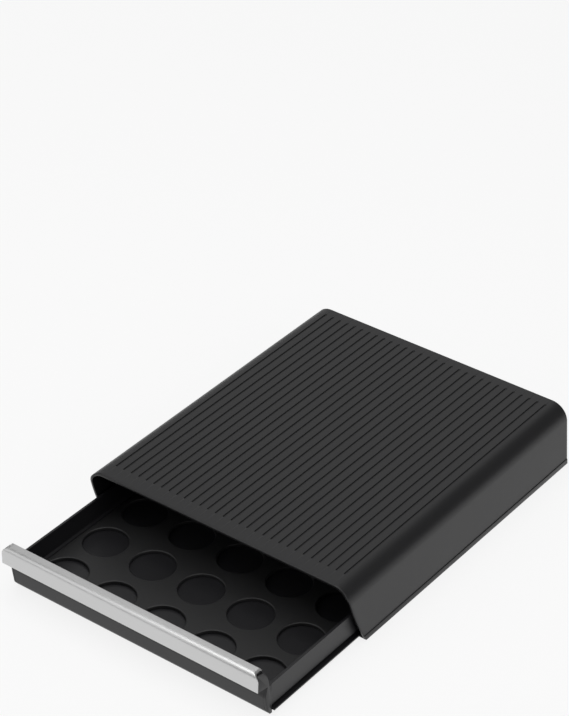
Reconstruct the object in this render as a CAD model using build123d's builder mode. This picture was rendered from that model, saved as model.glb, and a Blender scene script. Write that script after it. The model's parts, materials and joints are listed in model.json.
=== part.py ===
"""A coffee pod drawer: a low grooved casing that carries a coffee machine on its deck, and a tray of
pod seats that slides out from under the deck on a pair of channel runners.

The origin is at the middle of the whole object, on the surface that the feet stand on, with the
drawer as far open as it is shown. +X is to the right, -Y is the way the drawer opens, +Z is up.
"""

import os
from math import cos, radians, tan

from build123d import *

# Driving dimensions, in millimetres and degrees.

# Casing
casing_height = 59.3
casing_wall = 2.5
wall_draft = 4.0
shoulder_radius = 16.0
rake_reach = 19.4
rake_bow = 1.6
rake_drop = 7.0
base_band_height = 5.0
base_band_proud = 0.6
base_flange_width = 9.6
base_flange_thickness = 1.6

# Deck grooves and the ribs under the deck
groove_count = 30
groove_width = 1.8
groove_depth = 0.9
groove_front_margin = 16.6
groove_rear_margin = 9.0
rib_depth = 3.4
rib_thickness = 1.6
rib_rows = 6
rib_columns = 5
rib_margin = 6.0

# Back panel, with its screws and buffers
back_thickness = 2.4
back_boss_size = 9.0
back_boss_depth = 10.0
back_rib_count = 6
back_rib_depth = 1.4
buffer_lift = 14.0
buffer_length = 7.7
buffer_radius = 5.5
buffer_stem_radius = 2.0
buffer_round = 2.2

# Feet
foot_height = 1.0
foot_length = 34.0
foot_width = 6.6
foot_inset = 14.0

# Drawer tray
tray_height = 26.0
tray_wall = 2.2
tray_floor = 2.0
tray_flange_reach = 2.8
tray_flange_thickness = 1.6
side_groove_height = 3.0
side_groove_depth = 1.8
tray_rib_depth = 0.8
tray_rib_thickness = 1.6
tray_rib_margin = 20.0
tray_rib_count = 5

# Runners and glides
runner_leg = 0.8
runner_lip = 1.0
runner_leg_reach = 5.0
runner_web = 1.0
runner_setback = 3.0
stop_length = 9.0
stop_height = 6.4
drawer_travel = 230.0
open_at_rest = 96.8
glide_length = 16.0
glide_height = 7.0
glide_setback = 2.0
glide_peg_radius = 1.8

# Pod seats
seat_columns = 5
seat_rows = 6
seat_pitch_x = 51.4
seat_pitch_y = 51.0
seat_front_edge = 22.8
seat_back_edge = 25.2
seat_side_edge = 24.15
seat_radius = 19.6
rack_thickness = 3.4

# Front panel and handle
front_overhang = 0.6
front_thickness = 2.6
handle_reach = 15.5
handle_underside = 31.1
handle_top = 48.2
handle_back = 5.6
handle_back_bow = 1.4
handle_bend_radius = 2.4
handle_end_radius = 7.5
handle_foot_reach = 0.6
panel_wall = 2.2
panel_bow = 4.9
waist_height = 29.0
waist_reach = 3.0
trim_thickness = 1.2
trim_lip = 1.8
hook_wall = 2.0
end_cap_thickness = 2.4

# Screws
screw_radius = 1.3
screw_head_radius = 3.4
screw_head_height = 1.6
front_screw_height = 14.0
front_boss_radius = 2.4
front_screw_length = 8.0
back_screw_length = 8.0

# Named clearances
slide_gap = 0.3
side_gap = 0.4
seat_gap = 0.3
panel_gap = 0.2
hole_gap = 0.1
stop_gap = 0.3

# Places that follow from the sizes above.
lean = radians(wall_draft)
lower_z = foot_height
deck_z = lower_z + casing_height
ceiling_z = deck_z - casing_wall
flange_top_z = lower_z + base_flange_thickness

tray_length = (
    front_thickness
    + 2 * tray_wall
    + seat_front_edge
    + (seat_rows - 1) * seat_pitch_y
    + seat_back_edge
)
casing_depth = tray_length + stop_gap + buffer_length + back_thickness
total_length = casing_depth + open_at_rest + handle_reach
casing_back_y = total_length / 2
casing_front_y = casing_back_y - casing_depth
casing_mid_y = (casing_front_y + casing_back_y) / 2
back_panel_y = casing_back_y - back_thickness

front_y = casing_front_y - open_at_rest
tray_front_y = front_y + front_thickness
tray_back_y = front_y + tray_length
tray_inner_front_y = tray_front_y + tray_wall
tray_inner_back_y = tray_back_y - tray_wall

tray_z = flange_top_z + runner_leg + slide_gap
tray_flange_top_z = tray_z + tray_flange_thickness
tray_floor_z = tray_z + tray_floor
tray_top_z = tray_z + tray_height
lip_z = tray_flange_top_z + slide_gap
lip_top_z = lip_z + runner_lip
step_z = tray_flange_top_z + side_groove_height
stop_top_z = lip_top_z + stop_height

trim_top_z = lower_z + handle_top
core_top_z = trim_top_z - trim_thickness
grip_z = lower_z + handle_underside
trim_front_y = front_y - handle_reach
core_front_y = trim_front_y + trim_thickness

tray_floor_x = (seat_columns - 1) / 2 * seat_pitch_x + seat_side_edge
tray_recess_x = tray_floor_x + tray_wall
tray_x = tray_recess_x + side_groove_depth
tray_inner_x = tray_x - tray_wall
flange_x = tray_x + tray_flange_reach
runner_inner_x = flange_x + side_gap
runner_outer_x = runner_inner_x + runner_web
front_x = tray_x + front_overhang
panel_x = front_x - end_cap_thickness
casing_width = 2 * (
    runner_outer_x + panel_gap + casing_wall / cos(lean) + (stop_top_z - lower_z) * tan(lean)
)


def half_width(z: float, inset: float = 0.0) -> float:
    """Half the casing's width at a height, set in from the outer face of the leaning wall."""
    return casing_width / 2 - (z - lower_z) * tan(lean) - inset / cos(lean)


def casing_section(inset: float, bottom_z: float) -> Sketch:
    """The casing's section across X and Z, with rounded shoulders and a flat lower edge."""
    top_z = deck_z - inset
    with BuildSketch() as section:
        with BuildLine():
            lid = FilletPolyline(
                (-half_width(bottom_z, inset), bottom_z),
                (-half_width(top_z, inset), top_z),
                (half_width(top_z, inset), top_z),
                (half_width(bottom_z, inset), bottom_z),
                radius=shoulder_radius - inset,
            )
            Line(lid @ 1, lid @ 0)
        make_face()
    return section.sketch


def bowed(foot: tuple[float, float], head: tuple[float, float], bow: float) -> Edge:
    """An arc from foot to head in the drawer's side view, bowed to the right of its way."""
    start = Vector(*foot)
    end = Vector(*head)
    along = (end - start).normalized()
    middle = (start + end) * 0.5 + Vector(along.Y, -along.X) * bow
    return ThreePointArc(start, middle, end)


def handle_outline() -> Sketch:
    """The handle and the panel seen from the front, with rounded top corners."""
    with BuildSketch() as outline:
        with BuildLine():
            top = FilletPolyline(
                (-front_x, 0),
                (-front_x, trim_top_z),
                (front_x, trim_top_z),
                (front_x, 0),
                radius=handle_end_radius,
            )
            Line(top @ 1, top @ 0)
        make_face()
    return outline.sketch


# Casing shell: one moulding with a grooved deck, rounded shoulders and leaning side walls, whose
# lower edges turn inwards as flanges. The side walls' front edges rake back below the deck.
deck_x = half_width(deck_z) - shoulder_radius
groove_pitch = 2 * deck_x / (groove_count - 1)
groove_length = casing_depth - groove_front_margin - groove_rear_margin
groove_mid_y = casing_mid_y + (groove_front_margin - groove_rear_margin) / 2
rib_length = casing_depth - back_thickness - back_boss_depth - 2 * rib_margin
rib_mid_y = casing_mid_y - (back_thickness + back_boss_depth) / 2
rib_row_pitch = (rib_length - rib_thickness) / (rib_rows - 1)
rib_column_pitch = 2 * (deck_x - rib_thickness) / (rib_columns - 1)
rear_plane = Plane.XZ.offset(-casing_back_y)
back_panel_plane = Plane.XZ.offset(-back_panel_y)
band_top_z = lower_z + base_band_height
band_x = half_width(lower_z) + base_band_proud
rake_top_z = deck_z - rake_drop
boss_z = ceiling_z - back_boss_size / 2
back_rib_pitch = 2 * deck_x / back_rib_count
boss_x = 2 * back_rib_pitch

with BuildPart() as casing_shell:
    with BuildSketch(rear_plane):
        add(casing_section(0, lower_z))
        add(casing_section(casing_wall, lower_z - casing_wall), mode=Mode.SUBTRACT)
        with BuildLine():
            Polyline(
                (band_x, lower_z),
                (half_width(band_top_z) + base_band_proud, band_top_z),
                (half_width(band_top_z, casing_wall / 2), band_top_z),
                (half_width(flange_top_z, casing_wall / 2), flange_top_z),
                (band_x - base_flange_width, flange_top_z),
                (band_x - base_flange_width, lower_z),
                close=True,
            )
        make_face()
        mirror(about=Plane.YZ)
    extrude(amount=casing_depth)
    with BuildSketch(Plane.YZ):
        with BuildLine():
            rake = ThreePointArc(
                (casing_front_y, rake_top_z),
                (casing_front_y + rake_reach / 2 - rake_bow, (rake_top_z + lower_z) / 2),
                (casing_front_y + rake_reach, lower_z),
            )
            Polyline(
                rake @ 1,
                (casing_front_y + rake_reach, 0),
                (casing_front_y - rake_reach, 0),
                (casing_front_y - rake_reach, rake_top_z),
                rake @ 0,
            )
        make_face()
    extrude(amount=casing_width, both=True, mode=Mode.SUBTRACT)
    with BuildSketch(Plane.XY.offset(deck_z)):
        with Locations((0, groove_mid_y)):
            with GridLocations(groove_pitch, 1, groove_count, 1):
                SlotOverall(groove_length, groove_width, rotation=90)
    extrude(amount=-groove_depth, mode=Mode.SUBTRACT)
    with BuildSketch(Plane.XY.offset(ceiling_z)):
        with Locations((0, rib_mid_y)):
            with GridLocations(1, rib_row_pitch, 1, rib_rows):
                Rectangle(2 * deck_x, rib_thickness)
            with GridLocations(rib_column_pitch, 1, rib_columns, 1):
                Rectangle(rib_thickness, rib_length)
    extrude(amount=-rib_depth)
    with BuildSketch(back_panel_plane):
        with Locations((-boss_x, boss_z), (boss_x, boss_z)):
            Rectangle(back_boss_size, back_boss_size)
    extrude(amount=back_boss_depth)
    with BuildSketch(back_panel_plane):
        with Locations((-boss_x, boss_z), (boss_x, boss_z)):
            Circle(screw_radius)
    extrude(amount=back_screw_length, mode=Mode.SUBTRACT)
casing_shell.part.label = "casing_shell"

# Back panel: closes the rear of the casing between its walls, stands on the base flanges, and is
# held by two screws into the bosses under the deck. Shallow ribs stiffen its inner face.
rear_face = Plane(origin=(0, casing_back_y, 0), x_dir=(-1, 0, 0), z_dir=(0, 1, 0))
back_mid_z = (flange_top_z + ceiling_z) / 2
buffer_x = boss_x
buffer_z = tray_z + buffer_lift

with BuildPart() as back_panel:
    with BuildSketch(rear_plane):
        add(casing_section(casing_wall + panel_gap, flange_top_z))
    extrude(amount=back_thickness)
    with BuildSketch(back_panel_plane):
        with Locations((0, back_mid_z)):
            with GridLocations(back_rib_pitch, 1, back_rib_count, 1):
                Rectangle(rib_thickness, ceiling_z - flange_top_z - 2 * rib_margin)
    extrude(amount=back_rib_depth)
    with Locations(rear_face):
        with Locations((-boss_x, boss_z), (boss_x, boss_z)):
            CounterBoreHole(
                screw_radius + hole_gap,
                screw_head_radius + hole_gap,
                screw_head_height,
                depth=back_thickness,
            )
        with Locations((-buffer_x, buffer_z), (buffer_x, buffer_z)):
            Hole(buffer_stem_radius, depth=back_thickness)
back_panel.part.label = "back_panel"

with BuildPart() as back_panel_screws:
    with BuildSketch(rear_plane):
        with Locations((-boss_x, boss_z), (boss_x, boss_z)):
            Circle(screw_head_radius)
    extrude(amount=screw_head_height)
    with BuildSketch(rear_plane):
        with Locations((-boss_x, boss_z), (boss_x, boss_z)):
            Circle(screw_radius)
    extrude(amount=back_thickness + back_screw_length)
back_panel_screws.part.label = "back_panel_screws"

# Buffers: rubber plugs that stop the closed tray. Each has a stem pressed through the back panel
# and a rounded head inside.
buffer_tip_y = back_panel_y - buffer_length

with BuildPart() as right_buffer:
    with BuildSketch(Plane.YZ.offset(buffer_x)):
        with BuildLine():
            Polyline(
                (buffer_tip_y, buffer_z),
                (casing_back_y, buffer_z),
                (casing_back_y, buffer_z + buffer_stem_radius),
                (back_panel_y, buffer_z + buffer_stem_radius),
                (back_panel_y, buffer_z + buffer_radius),
                (buffer_tip_y, buffer_z + buffer_radius),
                close=True,
            )
        make_face()
    revolve(axis=Axis((buffer_x, 0, buffer_z), (0, 1, 0)))
    chamfer(right_buffer.faces().sort_by(Axis.Y)[0].edges(), buffer_round)
right_buffer.part.label = "right_buffer"

with BuildPart() as left_buffer:
    mirror(right_buffer.part, about=Plane.YZ)
left_buffer.part.label = "left_buffer"

# Feet: four rubber pads stuck under the base flanges.
foot_x = band_x - base_flange_width / 2
front_foot_y = casing_front_y + rake_reach + foot_inset + foot_length / 2
rear_foot_y = casing_back_y - foot_inset - foot_length / 2
feet = {
    "front_left_foot": (-foot_x, front_foot_y),
    "front_right_foot": (foot_x, front_foot_y),
    "rear_left_foot": (-foot_x, rear_foot_y),
    "rear_right_foot": (foot_x, rear_foot_y),
}
foot_parts = {}

for foot_name, foot_place in feet.items():
    with BuildPart() as foot:
        with BuildSketch(Plane.XY):
            with Locations(foot_place):
                SlotOverall(foot_length, foot_width, rotation=90)
        extrude(amount=foot_height)
    foot.part.label = foot_name
    foot_parts[foot_name] = foot

# Runners: a channel on each base flange that the tray's own flange slides in. It stands against the
# side wall, is trapped lengthwise by the back panel, and carries the stop for the open drawer.
runner_front_y = casing_front_y + rake_reach + runner_setback
runner_back_y = back_panel_y - panel_gap
glide_front_y = tray_back_y - glide_setback - glide_length
stop_back_y = glide_front_y + open_at_rest - drawer_travel - stop_gap
stop_x = tray_x + side_gap

with BuildPart() as right_runner:
    with BuildSketch(Plane.XZ.offset(-runner_back_y)):
        with BuildLine():
            Polyline(
                (runner_inner_x - runner_leg_reach, flange_top_z),
                (runner_outer_x, flange_top_z),
                (runner_outer_x, lip_top_z),
                (tray_recess_x + side_gap, lip_top_z),
                (tray_recess_x + side_gap, lip_z),
                (runner_inner_x, lip_z),
                (runner_inner_x, flange_top_z + runner_leg),
                (runner_inner_x - runner_leg_reach, flange_top_z + runner_leg),
                close=True,
            )
        make_face()
    extrude(amount=runner_back_y - runner_front_y)
    with BuildSketch(Plane.XZ.offset(-stop_back_y)):
        with Locations((stop_x, lip_top_z)):
            Rectangle(runner_outer_x - stop_x, stop_height, align=Align.MIN)
    extrude(amount=stop_length)
    chamfer(right_runner.faces().filter_by(Axis.Y).sort_by(Axis.Z)[-1].edges().sort_by(Axis.Z)[-1], runner_web)
right_runner.part.label = "right_runner"

with BuildPart() as left_runner:
    mirror(right_runner.part, about=Plane.YZ)
left_runner.part.label = "left_runner"

# Drawer tray: one moulding with a flat floor, low side walls that step in above the sliding
# flanges, and a front and a rear wall.
glide_z = lip_top_z + slide_gap + glide_height / 2
glide_y = glide_front_y + glide_length / 2
front_screw_z = lower_z + front_screw_height
tray_rib_x = tray_floor_x - tray_rib_margin
tray_rib_y = (tray_back_y - tray_front_y) / 2 - tray_rib_margin

with BuildPart() as drawer_tray:
    with BuildSketch(Plane.XZ.offset(-tray_back_y)):
        with BuildLine():
            Polyline(
                (0, tray_z),
                (flange_x, tray_z),
                (flange_x, tray_flange_top_z),
                (tray_recess_x, tray_flange_top_z),
                (tray_recess_x, step_z),
                (tray_x, step_z),
                (tray_x, tray_top_z),
                (tray_inner_x, tray_top_z),
                (tray_inner_x, step_z + tray_wall),
                (tray_floor_x, step_z + tray_wall - side_groove_depth),
                (tray_floor_x, tray_floor_z),
                (0, tray_floor_z),
                close=True,
            )
        make_face()
        mirror(about=Plane.YZ)
    extrude(amount=tray_back_y - tray_front_y)
    with BuildSketch(Plane.XY.offset(tray_z)):
        with Locations((0, tray_front_y + tray_wall / 2), (0, tray_back_y - tray_wall / 2)):
            Rectangle(2 * tray_recess_x, tray_wall)
    extrude(amount=tray_height)
    with BuildSketch(Plane.XY.offset(step_z)):
        with Locations((0, tray_front_y + tray_wall / 2), (0, tray_back_y - tray_wall / 2)):
            Rectangle(2 * tray_x, tray_wall)
    extrude(amount=tray_top_z - step_z)
    with BuildSketch(Plane.XY.offset(tray_z)):
        with Locations((0, (tray_front_y + tray_back_y) / 2)):
            with GridLocations(1, 2 * tray_rib_y / (tray_rib_count - 1), 1, tray_rib_count):
                Rectangle(2 * tray_rib_x, tray_rib_thickness)
            with GridLocations(2 * tray_rib_x / (tray_rib_count - 1), 1, tray_rib_count, 1):
                Rectangle(tray_rib_thickness, 2 * tray_rib_y)
    extrude(amount=-tray_rib_depth)
    with BuildSketch(Plane.XZ.offset(-tray_inner_front_y)):
        with Locations((0, front_screw_z)):
            with GridLocations(seat_pitch_x, 1, seat_columns - 1, 1):
                Circle(front_boss_radius + hole_gap)
    extrude(amount=tray_wall, mode=Mode.SUBTRACT)
    with BuildSketch(Plane.YZ):
        with Locations((glide_y, glide_z)):
            Circle(glide_peg_radius)
    extrude(amount=tray_x, both=True, mode=Mode.SUBTRACT)
drawer_tray.part.label = "drawer_tray"

# Rear glides: low-friction shoes pegged to the tray's sides. They ride on top of the runners, keep
# the open tray level, and meet the runners' stops.
with BuildPart() as right_glide:
    with BuildSketch(Plane.YZ.offset(tray_x)):
        with Locations((glide_y, glide_z)):
            RectangleRounded(glide_length, glide_height, runner_lip)
    extrude(amount=runner_outer_x - side_gap - tray_x)
    with BuildSketch(Plane.YZ.offset(tray_x)):
        with Locations((glide_y, glide_z)):
            Circle(glide_peg_radius)
    extrude(amount=-tray_wall)
right_glide.part.label = "right_glide"

with BuildPart() as left_glide:
    mirror(right_glide.part, about=Plane.YZ)
left_glide.part.label = "left_glide"

# Pod racks: two perforated plates that lie on the tray's floor, with a round seat for each pod.
first_seat_y = tray_inner_front_y + seat_front_edge
rack_split_y = first_seat_y + (seat_rows / 2 - 0.5) * seat_pitch_y
racks = {
    "front_pod_rack": (tray_inner_front_y + seat_gap, rack_split_y - seat_gap, 0),
    "rear_pod_rack": (rack_split_y + seat_gap, tray_inner_back_y - seat_gap, seat_rows // 2),
}
rack_parts = {}

for rack_name, (rack_front_y, rack_back_y, first_row) in racks.items():
    seats_y = first_seat_y + (first_row + (seat_rows // 2 - 1) / 2) * seat_pitch_y
    with BuildPart() as rack:
        with BuildSketch(Plane.XY.offset(tray_floor_z)):
            with Locations((0, (rack_front_y + rack_back_y) / 2)):
                Rectangle(2 * (tray_floor_x - seat_gap), rack_back_y - rack_front_y)
            with Locations((0, seats_y)):
                with GridLocations(seat_pitch_x, seat_pitch_y, seat_columns, seat_rows // 2):
                    Circle(seat_radius, mode=Mode.SUBTRACT)
        extrude(amount=rack_thickness)
    rack.part.label = rack_name
    rack_parts[rack_name] = rack

# Front panel: the bowed lower panel and the hooked core of the handle in one moulding. It is hollow
# under the handle for the fingers, and behind, where bosses pass through the tray's front wall.
hook_back_y = front_y - handle_back - hook_wall
hook_ceiling_z = core_top_z - hook_wall
handle_foot_y = front_y - handle_foot_reach
waist_y = front_y - waist_reach
waist_z = lower_z + waist_height
ledge_z = tray_top_z - hook_wall
bowed_inner_y = (front_y + waist_y) / 2 - panel_bow + panel_wall
front_boss_length = tray_inner_front_y - bowed_inner_y + panel_wall / 2

with BuildPart() as front_panel:
    with BuildSketch(Plane.YZ):
        with BuildLine():
            bowed((front_y, lower_z), (waist_y, waist_z), -panel_bow)
            bowed((waist_y, waist_z), (hook_back_y - hook_wall, hook_ceiling_z), handle_back_bow)
            Polyline(
                (hook_back_y - hook_wall, hook_ceiling_z),
                (core_front_y + hook_wall, hook_ceiling_z),
                (core_front_y + hook_wall, grip_z),
                (core_front_y, grip_z),
            )
            FilletPolyline(
                (core_front_y, grip_z),
                (core_front_y, core_top_z),
                (hook_back_y, core_top_z),
                radius=handle_bend_radius - trim_thickness,
            )
            bowed((handle_foot_y, tray_top_z), (hook_back_y, core_top_z), handle_back_bow)
            Polyline(
                (handle_foot_y, tray_top_z),
                (tray_front_y, tray_top_z),
                (tray_front_y, ledge_z),
                (waist_y + panel_wall, ledge_z),
            )
            ThreePointArc(
                (waist_y + panel_wall, ledge_z),
                (bowed_inner_y, (ledge_z + lower_z + hook_wall) / 2),
                (front_y + panel_wall, lower_z + hook_wall),
            )
            Polyline(
                (front_y + panel_wall, lower_z + hook_wall),
                (tray_front_y, lower_z + hook_wall),
                (tray_front_y, lower_z),
                (front_y, lower_z),
            )
        make_face()
    extrude(amount=panel_x, both=True)
    with BuildSketch(Plane.XZ.offset(-tray_inner_front_y)):
        with Locations((0, front_screw_z)):
            with GridLocations(seat_pitch_x, 1, seat_columns - 1, 1):
                Circle(front_boss_radius)
    extrude(amount=front_boss_length)
    with BuildSketch(Plane.XZ.offset(-tray_inner_front_y)):
        with Locations((0, front_screw_z)):
            with GridLocations(seat_pitch_x, 1, seat_columns - 1, 1):
                Circle(screw_radius)
    extrude(amount=front_screw_length, mode=Mode.SUBTRACT)
    with BuildSketch(Plane.XZ):
        add(handle_outline())
    extrude(amount=total_length, both=True, mode=Mode.INTERSECT)
front_panel.part.label = "front_panel"

with BuildPart() as front_panel_screws:
    with BuildSketch(Plane.XZ.offset(-tray_inner_front_y)):
        with Locations((0, front_screw_z)):
            with GridLocations(seat_pitch_x, 1, seat_columns - 1, 1):
                Circle(screw_head_radius)
    extrude(amount=-screw_head_height)
    with BuildSketch(Plane.XZ.offset(-tray_inner_front_y)):
        with Locations((0, front_screw_z)):
            with GridLocations(seat_pitch_x, 1, seat_columns - 1, 1):
                Circle(screw_radius)
    extrude(amount=front_screw_length)
front_panel_screws.part.label = "front_panel_screws"

# Handle trim: a strip bent over the front and the top of the handle, with a short lip behind.
with BuildPart() as handle_trim:
    with BuildSketch(Plane.YZ):
        with BuildLine():
            FilletPolyline(
                (trim_front_y + trim_thickness / 2, grip_z),
                (trim_front_y + trim_thickness / 2, trim_top_z - trim_thickness / 2),
                (front_y - handle_back - trim_thickness / 2, trim_top_z - trim_thickness / 2),
                (front_y - handle_back - trim_thickness / 2, trim_top_z - trim_lip),
                radius=[handle_bend_radius - trim_thickness / 2, trim_thickness * 0.75],
            )
        trace(line_width=trim_thickness)
    extrude(amount=front_x, both=True)
    with BuildSketch(Plane.XZ):
        add(handle_outline())
    extrude(amount=total_length, both=True, mode=Mode.INTERSECT)
handle_trim.part.label = "handle_trim"

# End caps: side plates that close the front panel and the hollow handle at each end.
with BuildPart() as right_end_cap:
    with BuildSketch(Plane.YZ.offset(panel_x)):
        with BuildLine():
            bowed((front_y, lower_z), (waist_y, waist_z), -panel_bow)
            Line((waist_y, waist_z), (core_front_y, grip_z))
            FilletPolyline(
                (core_front_y, grip_z),
                (core_front_y, core_top_z),
                (hook_back_y, core_top_z),
                radius=handle_bend_radius - trim_thickness,
            )
            bowed((handle_foot_y, tray_top_z), (hook_back_y, core_top_z), handle_back_bow)
            Polyline(
                (handle_foot_y, tray_top_z),
                (tray_front_y, tray_top_z),
                (tray_front_y, lower_z),
                (front_y, lower_z),
            )
        make_face()
    extrude(amount=end_cap_thickness)
    with BuildSketch(Plane.XZ):
        add(handle_outline())
    extrude(amount=total_length, both=True, mode=Mode.INTERSECT)
right_end_cap.part.label = "right_end_cap"

with BuildPart() as left_end_cap:
    mirror(right_end_cap.part, about=Plane.YZ)
left_end_cap.part.label = "left_end_cap"

# Export, one file for each piece.
pieces = [
    casing_shell,
    back_panel,
    back_panel_screws,
    left_buffer,
    right_buffer,
    left_runner,
    right_runner,
    drawer_tray,
    left_glide,
    right_glide,
    front_panel,
    front_panel_screws,
    handle_trim,
    left_end_cap,
    right_end_cap,
    *foot_parts.values(),
    *rack_parts.values(),
]
os.makedirs("parts", exist_ok=True)
for piece in pieces:
    export_step(piece.part, f"parts/{piece.part.label}.step")
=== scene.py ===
"""The looks of the coffee pod drawer: finishes, softened edges and the finer pieces, in one frame.

All lengths are in metres, except where a name ends in _mm. +X is to the right, -Y is the way the
drawer opens and +Z is up. Each new piece is a surface worked out as whole numpy arrays, or a CAD
node with its edges rounded.
"""

from __future__ import annotations

import json
import logging
import math
from collections.abc import Callable, Sequence
from dataclasses import dataclass
from enum import Enum
from functools import reduce

import bmesh
import bpy
import numpy as np
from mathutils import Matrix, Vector

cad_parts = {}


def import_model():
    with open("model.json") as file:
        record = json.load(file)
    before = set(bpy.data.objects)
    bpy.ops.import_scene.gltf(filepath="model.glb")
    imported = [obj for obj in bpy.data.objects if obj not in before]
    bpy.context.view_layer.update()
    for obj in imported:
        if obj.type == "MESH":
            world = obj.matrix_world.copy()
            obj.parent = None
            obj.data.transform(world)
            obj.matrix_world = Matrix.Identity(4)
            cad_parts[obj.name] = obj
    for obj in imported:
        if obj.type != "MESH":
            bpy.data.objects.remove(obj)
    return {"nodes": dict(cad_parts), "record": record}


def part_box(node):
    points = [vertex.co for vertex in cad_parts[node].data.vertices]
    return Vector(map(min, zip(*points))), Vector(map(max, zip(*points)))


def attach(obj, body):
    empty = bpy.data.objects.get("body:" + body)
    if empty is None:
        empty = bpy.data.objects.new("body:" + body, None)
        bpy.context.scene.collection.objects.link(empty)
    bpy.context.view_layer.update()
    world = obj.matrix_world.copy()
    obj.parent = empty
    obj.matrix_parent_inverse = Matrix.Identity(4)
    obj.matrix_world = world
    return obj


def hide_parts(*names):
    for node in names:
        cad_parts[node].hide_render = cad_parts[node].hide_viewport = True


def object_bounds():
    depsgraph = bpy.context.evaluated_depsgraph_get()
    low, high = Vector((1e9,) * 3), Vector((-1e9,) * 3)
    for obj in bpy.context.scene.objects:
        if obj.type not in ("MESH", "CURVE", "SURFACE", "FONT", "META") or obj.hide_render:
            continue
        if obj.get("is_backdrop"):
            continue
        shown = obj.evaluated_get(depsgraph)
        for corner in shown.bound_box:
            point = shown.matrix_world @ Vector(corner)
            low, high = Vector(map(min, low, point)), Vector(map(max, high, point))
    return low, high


LOG = logging.getLogger("coffee_pod_drawer")
MM = 0.001
CREASE = math.radians(35)  # edges that turn by more than this stay sharp, or are rounded
FLAT = math.radians(0.5)  # faces that differ by less than this are one face
LEAST = 1e-6  # the least radius and turn of a corner. Points closer than this are one point
TINY = 1e-9  # the least length that anything is divided by

Array = np.ndarray
Socket = bpy.types.NodeSocket
Piece = bpy.types.Object
Line = Array | Sequence[float | tuple[float, float]]
Triple = tuple[float, float, float]
Reach = Callable[[Array], Array]  # where a section starts or ends, for the heights of its points


class Body(Enum):
    """The two bodies that the pieces ride on."""

    CASING = "casing"
    DRAWER = "drawer"


class Slot(Enum):
    """The record's material slots."""

    CASING = "casing_plastic"
    DRAWER = "drawer_plastic"
    RACK = "rack_plastic"
    RUNNER = "runner_plastic"
    GLIDE = "glide_plastic"
    SILVER = "handle_silver"
    FOOT = "foot_rubber"
    BUFFER = "buffer_rubber"
    STEEL = "screw_steel"


class Sweep(Enum):
    """The way that a closed section is carried, and how its two coordinates map to X, Y and Z."""

    ALONG_X = "x"
    ALONG_Y = "y"


# Surfaces


@dataclass
class Surface:
    """Points and faces of one or more closed shells."""

    points: Array
    faces: list[list[int]]

    def joined(self, other: Surface) -> Surface:
        """This surface and another as one.

        Args:
            other: the surface whose points and faces follow this one's.

        Returns:
            A surface that holds both.
        """
        shift = len(self.points)
        moved = [[corner + shift for corner in face] for face in other.faces]
        return Surface(np.vstack([self.points, other.points]), self.faces + moved)

    def mirrored(self) -> Surface:
        """The same surface on the other side of the X=0 plane."""
        return Surface(self.points * np.array([-1, 1, 1]), [face[::-1] for face in self.faces])

    def both_sides(self) -> Surface:
        """This surface and its mirror twin."""
        return self.joined(self.mirrored())


def grid_faces(
    rows: int, columns: int, round_rows: bool = False, round_columns: bool = False
) -> list[list[int]]:
    """Quads between neighbours on a grid of points stored row by row.

    Args:
        rows: number of rows.
        columns: number of points in a row.
        round_rows: the last row joins the first.
        round_columns: the last column joins the first.

    Returns:
        The corners of each quad.
    """
    row = np.arange(rows if round_rows else rows - 1)[:, None]
    column = np.arange(columns if round_columns else columns - 1)[None, :]
    next_row = (row + 1) % rows
    next_column = (column + 1) % columns
    corners = [(row, column), (row, next_column), (next_row, next_column), (next_row, column)]
    quads = np.stack([down * columns + across for down, across in corners], axis=-1)
    return quads.reshape(-1, 4).tolist()


def rounded(corners: Line, radii: Line, steps: int = 4, closed: bool = True) -> Array:
    """A polyline whose corners are rounded by arcs.

    Each arc touches both runs at radius / tan(half the corner's angle) from the corner, and its
    points turn evenly from one touching point to the other about the arc's centre. A corner with
    no radius stays one point.

    Args:
        corners: (n, 2) corner points.
        radii: (n,) arc radius at each corner.
        steps: points in each arc, less one.
        closed: the last corner runs on to the first; otherwise the two ends stay sharp.

    Returns:
        (m, 2) points along the rounded line.
    """
    corners = np.asarray(corners, float)
    kept = np.ones((len(corners), steps + 1), bool)
    kept[np.asarray(radii) == 0, 1:] = False
    radii = np.maximum(np.asarray(radii, float), LEAST)
    before = np.roll(corners, 1, axis=0) - corners
    after = np.roll(corners, -1, axis=0) - corners
    before /= np.linalg.norm(before, axis=1, keepdims=True)
    after /= np.linalg.norm(after, axis=1, keepdims=True)
    half = 0.5 * np.arccos(np.clip((before * after).sum(axis=1), -1.0, 1.0))
    reach = radii / np.tan(half)
    middle = before + after
    middle /= np.maximum(np.linalg.norm(middle, axis=1, keepdims=True), TINY)
    centre = corners + middle * (radii / np.sin(half))[:, None]
    start = corners + before * reach[:, None] - centre
    end = corners + after * reach[:, None] - centre
    turn = math.pi - 2 * half
    share = np.linspace(0.0, 1.0, steps + 1)[None, :, None]
    angle = np.maximum(turn, LEAST)[:, None, None]
    arc = np.sin((1 - share) * angle) * start[:, None] + np.sin(share * angle) * end[:, None]
    arc = arc / np.sin(angle) + centre[:, None]
    if closed:
        return arc[kept]
    return np.vstack([corners[:1], arc[1:-1][kept[1:-1]], corners[-1:]])


def bowed(start: Line, end: Line, bow: float, steps: int = 10) -> Array:
    """A line from start to end that bows out to the right of its way.

    At a share t of the way it stands off the straight line by 4 * bow * t * (1 - t).

    Args:
        start: first point.
        end: last point.
        bow: how far its middle stands off the straight line.
        steps: points, less one.

    Returns:
        (steps + 1, 2) points.
    """
    start, end = np.asarray(start, float), np.asarray(end, float)
    share = np.linspace(0, 1, steps + 1)[:, None]
    along = (end - start) / np.linalg.norm(end - start)
    right = np.array([along[1], -along[0]])
    return start + (end - start) * share + right * 4 * bow * share * (1 - share)


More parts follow.
